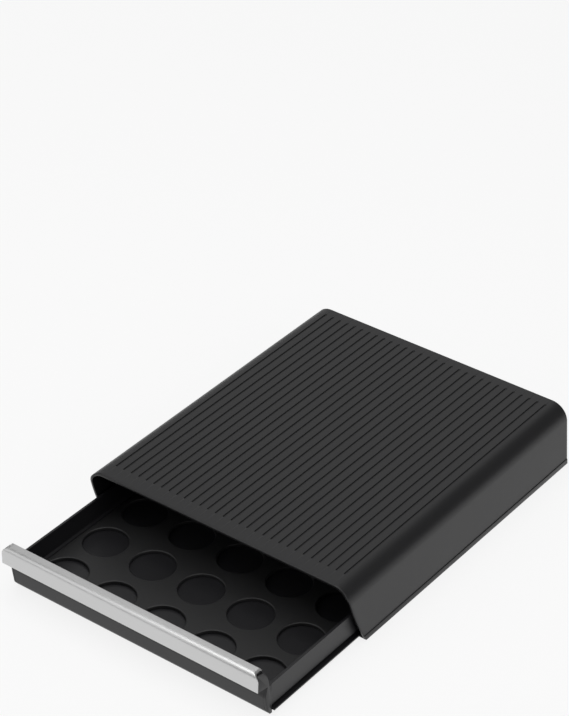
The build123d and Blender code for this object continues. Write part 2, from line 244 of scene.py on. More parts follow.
def outward(profile: Array, closed: bool = True) -> Array:
    """Unit normals of a line in the plane, to the right of its direction of travel.

    Args:
        profile: (n, 2) points.
        closed: the line is a loop.

    Returns:
        (n, 2) normals, each at right angles to the line through a point's two neighbours.
    """
    if closed:
        along = np.roll(profile, -1, axis=0) - np.roll(profile, 1, axis=0)
    else:
        along = np.gradient(profile, axis=0)
    along /= np.maximum(np.linalg.norm(along, axis=1, keepdims=True), TINY)
    return np.stack([along[:, 1], -along[:, 0]], axis=1)


def ribbon(path: Array, thickness: float, steps: int = 6) -> Array:
    """The closed section of a strip that follows a path, with half-round ends.

    Args:
        path: (n, 2) points of the strip's middle line.
        thickness: the strip's thickness.
        steps: points in each half-round end.

    Returns:
        (m, 2) points: one side, an end, the other side back, and the other end.
    """
    side = outward(path, closed=False) * thickness / 2
    turn = np.linspace(0, math.pi, steps + 2)[1:-1, None]
    first = np.array([-side[0, 1], side[0, 0]])
    last = np.array([-side[-1, 1], side[-1, 0]])
    far_end = path[-1] + side[-1] * np.cos(turn) + last * np.sin(turn)
    near_end = path[0] - side[0] * np.cos(turn) - first * np.sin(turn)
    return np.vstack([path + side, far_end, (path - side)[::-1], near_end])


def swept(
    profile: Array,
    sweep: Sweep,
    start: float | Reach,
    end: float | Reach,
    edge: float,
    steps: int = 3,
) -> Surface:
    """A closed section carried along X or Y, with rounded rims.

    Ring k of a rim lies edge * (1 - cos a) from the end, but no more than half the length there, and
    its points are drawn in along their normals by edge * (1 - sin a), as a runs from 0 to a quarter
    turn.

    Args:
        profile: (n, 2) closed section, in (Y, Z) for a sweep along X and (X, Z) along Y.
        sweep: the way the section is carried.
        start: where it starts, one number or a function of the height.
        end: where it ends, one number or a function of the height.
        edge: radius of the two rims.
        steps: rings in each rim, less one.

    Returns:
        The closed surface.
    """
    after = np.roll(profile, -1, axis=0)
    area = np.sum(profile[:, 0] * after[:, 1] - after[:, 0] * profile[:, 1]) / 2
    normals = outward(profile) * np.sign(area)
    turn = np.linspace(0, math.pi / 2, steps + 1)
    inset = edge * (1 - np.sin(turn))
    depth = edge * (1 - np.cos(turn))
    flat = profile[None] - normals[None] * np.concatenate([inset, inset[::-1]])[:, None, None]
    near_z, far_z = np.split(flat[..., 1], 2)
    near = start(near_z) if callable(start) else np.full(near_z.shape, start)
    far = end(far_z) if callable(end) else np.full(far_z.shape, end)
    way = np.sign(far.mean() - near.mean())
    depth = np.minimum(depth[:, None], np.abs(far[::-1] - near) / 2)
    along = np.vstack([near + way * depth, far - way * depth[::-1]])
    if sweep is Sweep.ALONG_X:
        points = np.stack([along, flat[..., 0], flat[..., 1]], axis=-1)
    else:
        points = np.stack([flat[..., 0], along, flat[..., 1]], axis=-1)
    rows, columns = along.shape
    faces = grid_faces(rows, columns, round_columns=True)
    faces.append(list(range(columns)))
    faces.append(list(range((rows - 1) * columns, rows * columns)))
    return Surface(points.reshape(-1, 3), faces)


def block(low: Triple, high: Triple, edge: float) -> Surface:
    """A box with rounded edges.

    Args:
        low: lowest corner.
        high: highest corner.
        edge: radius of its edges.

    Returns:
        The closed surface.
    """
    (left, front, foot), (right, rear, top) = low, high
    corners = np.array([[left, foot], [right, foot], [right, top], [left, top]])
    profile = rounded(corners, np.full(4, edge), steps=2)
    return swept(profile, Sweep.ALONG_Y, front, rear, edge, steps=2)


# Finishes


class Nodes:
    """A short way to lay down the nodes and links of a material or of the world."""

    def __init__(self, block: bpy.types.Material | bpy.types.World) -> None:
        """Starts with an empty tree in that block."""
        self.block = block
        self.block.use_nodes = True
        self.tree = self.block.node_tree
        self.tree.nodes.clear()

    def add(self, kind: str, **inputs: object) -> bpy.types.Node:
        """Adds a node and sets its inputs by name, with _ for a space.

        Args:
            kind: the node's type, less the ShaderNode that they all start with.
            inputs: values, or sockets to link from.

        Returns:
            The node.
        """
        node = self.tree.nodes.new("ShaderNode" + kind)
        for key, value in inputs.items():
            socket = node.inputs[key.replace("_", " ")]
            if isinstance(value, Socket):
                self.tree.links.new(value, socket)
            else:
                socket.default_value = value
        return node

    def ramp(self, source: Socket, low: float, high: float) -> Socket:
        """Maps a 0 to 1 pattern to a range of numbers.

        Args:
            source: the pattern.
            low: what 0 becomes.
            high: what 1 becomes.

        Returns:
            The mapped value's socket.
        """
        node = self.add("MapRange", Value=source, To_Min=low, To_Max=high)
        return node.outputs["Result"]

    def tint(self, source: Socket, dark: Triple, light: Triple) -> Socket:
        """Blends two colours by a 0 to 1 pattern.

        Args:
            source: the pattern.
            dark: the colour at 0.
            light: the colour at 1.

        Returns:
            The colour's socket.
        """
        node = self.add("Mix")
        node.data_type = "RGBA"
        self.tree.links.new(source, node.inputs[0])
        node.inputs[6].default_value = (*dark, 1.0)
        node.inputs[7].default_value = (*light, 1.0)
        return node.outputs[2]

    def mixed(self, share: Socket, first: Socket, second: Socket) -> Socket:
        """Mixes two shaders.

        Args:
            share: 0 for the first and 1 for the second.
            first: a shader's socket.
            second: another's.

        Returns:
            The mixed shader's socket.
        """
        node = self.add("MixShader")
        for source, socket in zip((share, first, second), node.inputs):
            self.tree.links.new(source, socket)
        return node.outputs["Shader"]

    def noise(self, place: Socket, scale: float, detail: float, roughness: float = 0.5) -> Socket:
        """Adds a noise pattern.

        Args:
            place: the point that each value belongs to.
            scale: how many of its broadest waves fit in a metre.
            detail: how many finer sizes it has.
            roughness: how strong each finer size is.

        Returns:
            The pattern's socket.
        """
        node = self.add("TexNoise", Vector=place, Scale=scale, Detail=detail, Roughness=roughness)
        return node.outputs["Fac"]

    def bump(self, height: Socket, depth: float, strength: float, **under: Socket) -> Socket:
        """Adds a bump.

        Args:
            height: the pattern of heights.
            depth: how deep it goes.
            strength: its share, from 0 to 1.
            under: the Normal of another bump, if it lies on one.

        Returns:
            The bumped normal's socket.
        """
        node = self.add("Bump", Height=height, Distance=depth, Strength=strength, **under)
        return node.outputs["Normal"]

    def coat(self, colour: Socket, rough: Socket, bump: Socket, **inputs: float) -> None:
        """Adds the shader of a surface, and the output.

        Args:
            colour: the base colour.
            rough: the roughness.
            bump: the bumped normal.
            inputs: the shader's other inputs, as for add.
        """
        shader = self.add(
            "BsdfPrincipled", Base_Color=colour, Roughness=rough, Normal=bump, **inputs
        )
        self.add("OutputMaterial", Surface=shader.outputs["BSDF"])


@dataclass(frozen=True)
class Finish:
    """The finish of a piece. material() gives it as a node material, made once."""

    name: str
    colour: Triple
    roughness: float

    def material(self) -> bpy.types.Material:
        """The finish's material, built the first time that it is asked for.

        Returns:
            The material.
        """
        found = bpy.data.materials.get(self.name)
        if found is None:
            found = bpy.data.materials.new(self.name)
            self.lay(Nodes(found))
        return found

    def lay(self, nodes: Nodes) -> None:
        """Lays down the material's nodes. Each kind of finish has its own."""
        raise NotImplementedError

    def shade(self, share: float) -> Triple:
        """The finish's colour times a share."""
        return tuple(channel * share for channel in self.colour)


@dataclass(frozen=True)
class MouldedPlastic(Finish):
    """Matte plastic from a spark-eroded mould: a fine leathery grain, soft flow marks and dust."""

    grain_size: float = 0.7 * MM
    grain_depth: float = 0.03 * MM
    mottling: float = 0.12
    dust_share: float = 0.3
    spread: float = 0.07
    specular: float = 0.42

    def lay(self, nodes: Nodes) -> None:
        """Grain from two sizes of noise as bump, and broad noise in colour and roughness.

        Args:
            nodes: the material's empty tree.
        """
        place = nodes.add("TexCoord").outputs["Object"]
        fine = nodes.noise(place, 1 / self.grain_size, detail=3.0, roughness=0.6)
        pits = nodes.add("TexVoronoi", Vector=place, Scale=0.6 / self.grain_size)
        broad = nodes.noise(place, 9.0, detail=4.0, roughness=0.55)
        dust = nodes.noise(place, 180.0, detail=5.0, roughness=0.7)
        flow = nodes.add("Math", Value=broad)
        flow.operation = "MULTIPLY_ADD"
        flow.inputs[1].default_value = 1 - self.dust_share
        nodes.tree.links.new(nodes.ramp(dust, 0.0, self.dust_share), flow.inputs[2])
        pattern = flow.outputs[0]
        colour = nodes.tint(pattern, self.shade(1 - self.mottling), self.shade(1 + self.mottling))
        rough = nodes.ramp(pattern, self.roughness - self.spread, self.roughness + self.spread)
        coarse = nodes.bump(pits.outputs["Distance"], self.grain_depth, strength=0.35)
        bump = nodes.bump(fine, self.grain_depth, strength=0.6, Normal=coarse)
        nodes.coat(colour, rough, bump, Specular_IOR_Level=self.specular)


@dataclass(frozen=True)
class SatinMetal(Finish):
    """Silver sheet or plated steel with a fine grain that runs one way."""

    grain_way: Triple = (40.0, 2600.0, 2600.0)
    grain_depth: float = 0.004 * MM
    spread: float = 0.06
    dullest: float = 0.96
    brightest: float = 1.03

    def lay(self, nodes: Nodes) -> None:
        """Noise stretched along the grain, in roughness, bump and a little in the colour.

        Args:
            nodes: the material's empty tree.
        """
        place = nodes.add("TexCoord").outputs["Object"]
        scaled = nodes.add("Mapping", Vector=place, Scale=self.grain_way)
        grain = nodes.noise(scaled.outputs["Vector"], 1.0, detail=3.0)
        cloud = nodes.noise(place, 14.0, detail=3.0)
        colour = nodes.tint(cloud, self.shade(self.dullest), self.shade(self.brightest))
        rough = nodes.ramp(grain, self.roughness - self.spread, self.roughness + self.spread)
        bump = nodes.bump(grain, self.grain_depth, strength=0.5)
        nodes.coat(colour, rough, bump, Metallic=1.0)


@dataclass(frozen=True)
class Rubber(Finish):
    """Soft black rubber with a faint bloom."""

    bare: float = 0.8
    bloomed: float = 1.5
    smoother: float = 0.05
    rougher: float = 0.08
    pore_depth: float = 0.03 * MM
    specular: float = 0.3

    def lay(self, nodes: Nodes) -> None:
        """Two sizes of noise: the bloom in the colour, and pores as bump.

        Args:
            nodes: the material's empty tree.
        """
        place = nodes.add("TexCoord").outputs["Object"]
        bloom = nodes.noise(place, 70.0, detail=5.0, roughness=0.7)
        pores = nodes.noise(place, 2400.0, detail=2.0)
        colour = nodes.tint(bloom, self.shade(self.bare), self.shade(self.bloomed))
        rough = nodes.ramp(bloom, self.roughness - self.smoother, self.roughness + self.rougher)
        bump = nodes.bump(pores, self.pore_depth, strength=0.5)
        nodes.coat(colour, rough, bump, Specular_IOR_Level=self.specular)


FINISHES: dict[Slot, Finish] = {
    Slot.CASING: MouldedPlastic("charcoal_casing", (0.0105, 0.0104, 0.0112), 0.40),
    Slot.DRAWER: MouldedPlastic("charcoal_drawer", (0.0100, 0.0098, 0.0112), 0.42),
    Slot.RACK: MouldedPlastic("charcoal_rack", (0.014, 0.014, 0.0145), 0.48),
    Slot.RUNNER: MouldedPlastic("slick_runner", (0.030, 0.030, 0.030), 0.36, grain_depth=0.01 * MM),
    Slot.GLIDE: MouldedPlastic(
        "pale_glide", (0.72, 0.71, 0.67), 0.34, grain_depth=0.01 * MM, mottling=0.04
    ),
    Slot.SILVER: SatinMetal("satin_silver", (0.63, 0.63, 0.63), 0.40),
    Slot.STEEL: SatinMetal(
        "zinc_steel",
        (0.50, 0.50, 0.51),
        0.32,
        grain_way=(900.0, 900.0, 900.0),
        grain_depth=0.01 * MM,
        spread=0.1,
    ),
    Slot.FOOT: Rubber("foot_rubber_black", (0.022, 0.022, 0.022), 0.75),
    Slot.BUFFER: Rubber("buffer_rubber_black", (0.026, 0.026, 0.026), 0.7),
}


# Pieces


def dressed(name: str, mesh: bpy.types.Mesh, body: Body, slot: Slot, node: str) -> Piece:
    """Makes a mesh into a piece of the scene that stands for a CAD node.

    Args:
        name: the piece's name.
        mesh: its mesh.
        body: the body that it rides on.
        slot: the record's material slot, which gives the finish too.
        node: the CAD node's name.

    Returns:
        The new object.
    """
    mesh.polygons.foreach_set("use_smooth", np.ones(len(mesh.polygons), bool))
    mesh.set_sharp_from_angle(angle=CREASE)
    mesh.materials.clear()
    mesh.materials.append(FINISHES[slot].material())
    piece = bpy.data.objects.new(name, mesh)
    bpy.context.scene.collection.objects.link(piece)
    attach(piece, body.value)
    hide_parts(node)
    return piece


def placed(name: str, surface: Surface, body: Body, slot: Slot, node: str) -> Piece:
    """Makes a surface into a dressed piece of the scene.

    Args:
        name: the piece's name.
        surface: its points and faces.
        body: the body that it rides on.
        slot: the record's material slot.
        node: the name of the CAD node that it stands for.

    Returns:
        The new object.
    """
    mesh = bpy.data.meshes.new(name)
    mesh.from_pydata(surface.points.tolist(), [], surface.faces)
    work = bmesh.new()
    work.from_mesh(mesh)
    bmesh.ops.recalc_face_normals(work, faces=work.faces)
    work.to_mesh(mesh)
    work.free()
    return dressed(name, mesh, body, slot, node)


def softened(
    node: Piece, name: str, body: Body, slot: Slot, edge: float, segments: int = 2
) -> Piece:
    """A dressed copy of a CAD node with its edges rounded.

    Args:
        node: the CAD node's object, which is left alone.
        name: the new piece's name.
        body: the body that it rides on.
        slot: the record's material slot.
        edge: radius of the rounded edges.
        segments: facets across a rounded edge.

    Returns:
        The new object.
    """
    mesh = node.data.copy()
    mesh.name = name
    work = bmesh.new()
    work.from_mesh(mesh)
    bmesh.ops.remove_doubles(work, verts=work.verts, dist=LEAST)
    bmesh.ops.dissolve_limit(work, angle_limit=FLAT, verts=work.verts, edges=work.edges)
    work.to_mesh(mesh)
    work.free()
    piece = dressed(name, mesh, body, slot, node.name)
    bevel = piece.modifiers.new("edges", "BEVEL")
    bevel.width = edge
    bevel.segments = segments
    bevel.limit_method = "ANGLE"
    bevel.angle_limit = CREASE
    bevel.use_clamp_overlap = False
    bevel.harden_normals = True
    even = piece.modifiers.new("even_shading", "WEIGHTED_NORMAL")
    even.keep_sharp = True
    even.weight = 100
    return piece


# The object


@dataclass
class Casing:
    """The casing that stands still: a grooved deck with rounded shoulders and leaning side walls."""

    nodes: dict[str, Piece]
    soft: float = 0.3 * MM
    wall: float = 2.5 * MM
    lean: float = math.radians(4.0)
    shoulder: float = 16.0 * MM
    rake_reach: float = 19.4 * MM
    rake_bow: float = 1.6 * MM
    rake_drop: float = 7.0 * MM
    band_height: float = 5.0 * MM
    band_proud: float = 0.6 * MM
    flange_width: float = 9.6 * MM
    flange_thickness: float = 1.6 * MM
    base_radii_mm: tuple[float, ...] = (0.5, 0.35, 0.1, 0.1, 0.5, 0.5)
    groove_count: int = 30
    groove_width: float = 1.8 * MM
    groove_depth: float = 0.9 * MM
    groove_ease: float = 0.2 * MM
    groove_front_margin: float = 16.6 * MM
    groove_rear_margin: float = 9.0 * MM
    half_groove_mm: tuple[float, ...] = (0.2, 0.6, 0.8, 1.0, 1.12, 1.5)
    groove_end_mm: tuple[float, ...] = (-0.3, -0.1, 0.0, 0.15, 0.35, 0.6, 0.8, 1.1, 1.8)
    shoulder_steps: int = 24
    wall_steps: int = 12
    deck_steps: int = 8
    rim_steps: int = 4
    rim: float = 0.8 * MM
    rim_margin: float = 3.2 * MM
    rib_depth: float = 3.4 * MM
    rib_thickness: float = 1.6 * MM
    rib_rows: int = 6
    rib_columns: int = 5
    rib_margin: float = 6.0 * MM
    rib_root: float = 0.2 * MM
    back_thickness: float = 2.4 * MM
    boss_size: float = 9.0 * MM
    boss_depth: float = 10.0 * MM
    boss_share: float = 2 / 3

    def __post_init__(self) -> None:
        """Takes the casing's box from its CAD node."""
        self.low, self.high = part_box("casing_shell")

    def half_width(self, z: float | Array) -> float | Array:
        """Half the width at a height: it falls off by the tangent of the walls' lean."""
        return self.high.x - self.band_proud - (z - self.low.z) * math.tan(self.lean)

    def front(self, z: Array) -> Array:
        """Where the walls' front edge is at a height.

        Below the rake's top the edge runs back on a line to the rake's reach at the base, less a
        parabola of the bow's height, so that it hollows towards the front.

        Args:
            z: heights.

        Returns:
            The Y of the front edge at each.
        """
        top = self.high.z - self.rake_drop
        down = np.clip((top - z) / (top - self.low.z), 0.0, 1.0)
        return self.low.y + self.rake_reach * down - 4 * self.rake_bow * down * (1 - down)

    def section(self) -> tuple[Array, Array]:
        """The outer line of walls, shoulders and deck, from the right foot round to the left foot.

        The wall is a straight line, the shoulder an arc about a centre one radius in from the wall
        and the deck, and the deck's points stand close together at each groove's edges.

        Returns:
            (n, 2) points in X and Z, and their (n, 2) normals.
        """
        centre_z = self.high.z - self.shoulder
        centre_x = self.half_width(centre_z) - self.shoulder / math.cos(self.lean)
        turn = np.linspace(self.lean, math.pi / 2, self.shoulder_steps + 1)
        arc = np.stack([np.cos(turn), np.sin(turn)], axis=1)
        shoulder = np.array([centre_x, centre_z]) + self.shoulder * arc
        share = np.linspace(0, 1, self.wall_steps + 1)[:-1, None]
        foot_z = self.low.z + self.wall * math.sin(self.lean)
        foot = np.array([self.half_width(foot_z), foot_z])
        wall = foot + (shoulder[0] - foot) * share
        grooves, _ = self.groove_places()
        half = np.array(self.half_groove_mm) * MM
        across = (grooves[:, None] + np.concatenate([-half[::-1], half])[None]).ravel()
        across = across[(across > 0) & (across < centre_x)][::-1]
        deck = np.stack([across, np.full(len(across), self.high.z)], axis=1)
        right = np.vstack([wall, shoulder, deck])
        line = np.vstack([right, (right * [-1, 1])[::-1]])
        aside, up = np.tile(arc[0], (len(wall), 1)), np.tile([0.0, 1.0], (len(deck), 1))
        normal = np.vstack([aside, arc, up])
        return line, np.vstack([normal, (normal * [-1, 1])[::-1]])

    def groove_places(self) -> tuple[Array, tuple[float, float]]:
        """The grooves' places, spread evenly between the shoulders.

        Returns:
            The X of each groove, and the Y of their front and rear ends.
        """
        reach = self.half_width(self.high.z) - self.shoulder
        ends = (self.low.y + self.groove_front_margin, self.high.y - self.groove_rear_margin)
        return np.linspace(-reach, reach, self.groove_count), ends

    def groove_dip(self, x: Array, y: Array) -> Array:
        """How far the deck dips at a point.

        A groove is the set of points within half its width of a line. The dip is the depth inside
        that, and it falls to nothing on a smooth step from one ease inside its edge to one outside.

        Args:
            x: X of the points.
            y: Y of the points.

        Returns:
            The dip at each.
        """
        grooves, (front, rear) = self.groove_places()
        pitch = grooves[1] - grooves[0]
        index = np.clip(np.round((x - grooves[0]) / pitch), 0, self.groove_count - 1)
        aside = x - (grooves[0] + index * pitch)
        half = self.groove_width / 2
        beyond = np.maximum(np.maximum(front + half - y, y - rear + half), 0.0)
        inside = half - np.hypot(aside, beyond)
        step = np.clip((inside + self.groove_ease) / (2 * self.groove_ease), 0.0, 1.0)
        return self.groove_depth * step * step * (3 - 2 * step)

    def skin(self) -> Surface:
        """The moulded skin: a strip's section carried along the outer line.

        The strip's section runs from the rear edge forward on the outside, round the rim, and back
        on the inside. Its points are given by a share of the way from front to rear and a depth
        below the outer line, and the deck's outer points are lowered by the grooves' dip.

        Returns:
            The closed surface.
        """
        line, normal = self.section()
        length = self.high.y - self.low.y
        _, (front, rear) = self.groove_places()
        ends = np.array(self.groove_end_mm) * MM
        between = np.linspace(front, rear, self.deck_steps + 1)[1:-1]
        stations = np.concatenate([front + ends, between, (rear - ends)[::-1]])
        outer_share = (stations - self.low.y)[::-1] / length
        turn = np.linspace(0, math.pi / 2, self.rim_steps + 1)
        near, past = self.rim / length, self.rim_margin / length
        inner_share = [past, 0.25, 0.5, 0.75, 1.0]
        rim_share = near * (1 - np.array([np.sin(turn), np.cos(turn)]).ravel())
        share = np.concatenate([[1.0], outer_share, [past], rim_share, inner_share])
        outer_depth = np.zeros(len(outer_share) + 2)
        outer_rim = self.rim * (1 - np.cos(turn))
        inner_rim = self.wall - self.rim + self.rim * np.sin(turn)
        inner_depth = np.full(len(inner_share), self.wall)
        depth = np.concatenate([outer_depth, outer_rim, inner_rim, inner_depth])
        edge = self.front(line[:, 1])
        y = edge[None] + share[:, None] * (self.high.y - edge)[None]
        flat = line[None] - normal[None] * depth[:, None, None]
        level, outside = normal[:, 1] > math.cos(FLAT), depth == 0
        dip = self.groove_dip(flat[..., 0], y) * level[None] * outside[:, None]
        points = np.stack([flat[..., 0], y, flat[..., 1] - dip], axis=-1)
        rows, columns = y.shape
        faces = grid_faces(rows, columns, round_rows=True)
        faces.append([row * columns for row in range(rows)])
        faces.append([row * columns + columns - 1 for row in range(rows)])
        return Surface(points.reshape(-1, 3), faces)

    def base(self) -> Surface:
        """The band along a wall's foot and the flange that turns in from it, on both sides.

        Returns:
            Two closed surfaces as one: the section of band and flange, carried along Y.
        """
        foot_x = self.high.x
        band_top = self.low.z + self.band_height
        flange_top = self.low.z + self.flange_thickness
        lean_in = self.band_height * math.tan(self.lean)
        inner = foot_x - self.band_proud - self.wall / 2
        corners = np.array(
            [
                [foot_x, self.low.z],
                [foot_x - lean_in, band_top],
                [inner - lean_in, band_top],
                [inner, flange_top],
                [foot_x - self.flange_width, flange_top],
                [foot_x - self.flange_width, self.low.z],
            ]
        )
        profile = rounded(corners, np.array(self.base_radii_mm) * MM)
        return swept(profile, Sweep.ALONG_Y, self.front, self.high.y, self.soft).both_sides()

    def ribs(self) -> Surface:
        """The lattice of ribs and the two screw bosses under the deck.

        Returns:
            Their blocks as one surface.
        """
        ceiling = self.high.z - self.wall + self.rib_root
        deck_x = self.half_width(self.high.z) - self.shoulder
        half = self.rib_thickness / 2
        front = self.low.y + self.rib_margin
        rear = self.high.y - self.back_thickness - self.boss_depth - self.rib_margin
        floor = self.high.z - self.wall - self.rib_depth
        rows = np.linspace(front + half, rear - half, self.rib_rows)
        columns = np.linspace(-1, 1, self.rib_columns) * (deck_x - self.rib_thickness)
        spans = [((-deck_x, y - half, floor), (deck_x, y + half, ceiling)) for y in rows]
        spans += [((x - half, front, floor), (x + half, rear, ceiling)) for x in columns]
        boss_x = self.boss_share * deck_x
        boss_rear = self.high.y - self.back_thickness
        boss_front = boss_rear - self.boss_depth
        boss_foot = self.high.z - self.wall - self.boss_size
        reach = self.boss_size / 2
        spans += [
            ((x - reach, boss_front, boss_foot), (x + reach, boss_rear, ceiling))
            for x in (-boss_x, boss_x)
        ]
        return reduce(Surface.joined, [block(low, high, self.soft) for low, high in spans])

    def build(self) -> list[Piece]:
        """Builds and dresses the casing's pieces.

        Returns:
            The new objects.
        """
        shell = self.skin().joined(self.base()).joined(self.ribs())
        pieces = [placed("casing_skin", shell, Body.CASING, Slot.CASING, "casing_shell")]
        soft = {
            "back_panel": ("rear_cover", Slot.CASING, 0.3 * MM),
            "left_runner": ("left_channel", Slot.RUNNER, 0.2 * MM),
            "right_runner": ("right_channel", Slot.RUNNER, 0.2 * MM),
            "left_buffer": ("left_bumper", Slot.BUFFER, 0.5 * MM),
            "right_buffer": ("right_bumper", Slot.BUFFER, 0.5 * MM),
            "front_left_foot": ("front_left_pad", Slot.FOOT, 0.25 * MM),
            "front_right_foot": ("front_right_pad", Slot.FOOT, 0.25 * MM),
            "rear_left_foot": ("rear_left_pad", Slot.FOOT, 0.25 * MM),
            "rear_right_foot": ("rear_right_pad", Slot.FOOT, 0.25 * MM),
        }
        for node, (name, slot, edge) in soft.items():
            pieces.append(softened(self.nodes[node], name, Body.CASING, slot, edge))
        return pieces


@dataclass
class Drawer:
    """The tray that slides, with its racks and glides."""

    nodes: dict[str, Piece]

    def build(self) -> list[Piece]:
        """Builds and dresses the drawer's pieces.

        Returns:
            The new objects.
        """
        soft = {
            "drawer_tray": ("pod_tray", Slot.DRAWER, 0.25 * MM, 2),
            "front_pod_rack": ("front_seats", Slot.RACK, 0.8 * MM, 3),
            "rear_pod_rack": ("rear_seats", Slot.RACK, 0.8 * MM, 3),
            "left_glide": ("left_shoe", Slot.GLIDE, 0.25 * MM, 2),
            "right_glide": ("right_shoe", Slot.GLIDE, 0.25 * MM, 2),
        }
        return [
            softened(self.nodes[node], name, Body.DRAWER, slot, edge, segments)
            for node, (name, slot, edge, segments) in soft.items()
        ]


@dataclass
class Front:
    """The drawer's front: a moulded panel with a hooked handle, its silver strip and its end caps.

    Sections are in Y and Z. The waist and the corners of the face are measured from the panel's
    foot.
    """

    wall: float = 2.2 * MM
    hook_wall: float = 2.0 * MM
    handle_reach: float = 15.5 * MM
    handle_back: float = 5.6 * MM
    back_bow: float = 1.4 * MM
    foot_reach: float = 0.6 * MM
    waist: tuple[float, float] = (-3.0 * MM, 29.0 * MM)
    face: tuple[tuple[float, float], ...] = ((-3.35 * MM, 4.2 * MM), (-5.6 * MM, 20.0 * MM))
    face_radii: tuple[float, ...] = (5.0 * MM, 9.0 * MM)
    trim_thickness: float = 1.2 * MM
    trim_lip: float = 1.8 * MM
    bend: float = 3.8 * MM
    end_radius: float = 7.5 * MM
    end_bend: float = 0.9 * MM
    soft: float = 0.35 * MM
    panel_soft: float = 0.08 * MM
    cap_gap: float = 0.05 * MM
    turn_steps: int = 8
    boss_radius: float = 2.4 * MM
    bore_radius: float = 1.3 * MM
    bore_depth: float = 8.0 * MM
    boss_pitch: float = 51.4 * MM
    boss_count: int = 4
    boss_facets: int = 32

    def __post_init__(self) -> None:
        """Takes the boxes of the handle, the cap and the tray from their CAD nodes."""
        self.strip_low, self.strip_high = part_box("handle_trim")
        self.cap_low, self.cap_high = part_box("right_end_cap")
        self.tray_low, self.tray_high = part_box("drawer_tray")
        self.foot = np.array([self.strip_low.y + self.handle_reach, self.cap_low.z])
        self.core_top = self.strip_high.z - self.trim_thickness
        self.core_front = self.strip_low.y + self.trim_thickness
        self.hook_back = self.foot[0] - self.handle_back - self.hook_wall

    def half_length(self, z: Array) -> Array:
        """Half the handle's length at a height, with its upper corners rounded.

        At a height h above an arc's centre it is the centre's distance from the middle plus the
        root of radius squared less h squared.

        Args:
            z: heights.

        Returns:
            The half length at each.
        """
        above = np.clip(z - (self.strip_high.z - self.end_radius), 0.0, self.end_radius)
        return self.strip_high.x - self.end_radius + np.sqrt(self.end_radius**2 - above**2)

    def core_length(self, z: Array) -> Array:
        """Half the panel's length at a height: it ends at the caps or at the rounded corners."""
        return np.minimum(self.half_length(z), self.cap_low.x)

    def face_line(self) -> Array:
        """The lower face from the foot up to the waist: leaning out, with soft turns."""
        corners = np.array([(0.0, 0.0), *self.face, self.waist]) + self.foot
        return rounded(corners, (0.0, *self.face_radii, 0.0), self.turn_steps, closed=False)

    def back_line(self) -> Array:
        """The handle's back from its top down to the tray's rim, bowed outwards."""
        rim = (self.foot[0] - self.foot_reach, self.tray_high.z)
        return bowed(rim, (self.hook_back, self.core_top), self.back_bow)[::-1]

    def panel_section(self) -> Array:
        """The panel's section: face, hook, grip lip, top, back, and the hollow behind the face.

        Returns:
            (n, 2) points in Y and Z.
        """
        ceiling = self.core_top - self.hook_wall
        hook_top = (self.hook_back - self.hook_wall, ceiling)
        hook = bowed(self.foot + self.waist, hook_top, self.back_bow)
        front, grip = self.core_front, self.strip_low.z
        lip = [
            (front + self.hook_wall, ceiling),
            (front + self.hook_wall, grip),
            (front, grip),
            (front, self.core_top),
            (self.hook_back, self.core_top),
        ]
        radii = (0.0, self.soft, self.soft, self.bend - self.trim_thickness, 0.0)
        lip_line = rounded(lip, radii, closed=False)
        shelf = self.tray_high.z - self.hook_wall
        floor = self.foot[1] + self.hook_wall
        inside = np.array(self.face) + self.foot + (self.wall, 0.0)
        hollow = [
            (self.tray_low.y, self.tray_high.z),
            (self.tray_low.y, shelf),
            (self.foot[0] + self.waist[0] + self.wall, shelf),
            *inside[::-1],
            (self.foot[0] + self.wall, floor),
            (self.tray_low.y, floor),
            (self.tray_low.y, self.foot[1]),
        ]
        return np.vstack([self.face_line(), hook[1:], lip_line[1:-1], self.back_line(), hollow])

    def bosses(self) -> Surface:
        """The screw bosses: rings about each screw's axis, from the face's wall to the tray.

        The rings go along the outside to the tray, in to the bore's radius, and down the bore.

        Returns:
            The closed bosses as one surface.
        """
        low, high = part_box("front_panel_screws")
        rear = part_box("front_panel")[1].y
        front = self.foot[0] + self.face[0][0]
        radii = np.array([self.boss_radius, self.boss_radius, self.bore_radius, self.bore_radius])
        depths = np.array([front, rear, rear, rear - self.bore_depth])
        angle = np.linspace(0, 2 * math.pi, self.boss_facets + 1)[:-1]
        x = radii[:, None] * np.cos(angle)
        y = np.repeat(depths[:, None], len(angle), axis=1)
        z = (low.z + high.z) / 2 + radii[:, None] * np.sin(angle)
        faces = grid_faces(*x.shape, round_columns=True)
        faces.append(list(range(len(angle))))
        faces.append(list(range(x.size - len(angle), x.size)))
        reach = self.boss_pitch * (self.boss_count - 1) / 2
        places = np.linspace(-reach, reach, self.boss_count)
        rings = [np.stack([place + x, y, z], axis=-1).reshape(-1, 3) for place in places]
        return reduce(Surface.joined, [Surface(points, faces) for points in rings])

    def carried(self, section: Array, half: Reach, edge: float, steps: int = 3) -> Surface:
        """A section carried from end to end of the handle, with half the length at a height."""
        return swept(section, Sweep.ALONG_X, lambda z: -half(z), half, edge, steps)

    def panel(self) -> Surface:
        """The panel's section carried between the caps, with the bosses behind it."""
        panel = self.carried(self.panel_section(), self.core_length, self.panel_soft, steps=1)
        return panel.joined(self.bosses())

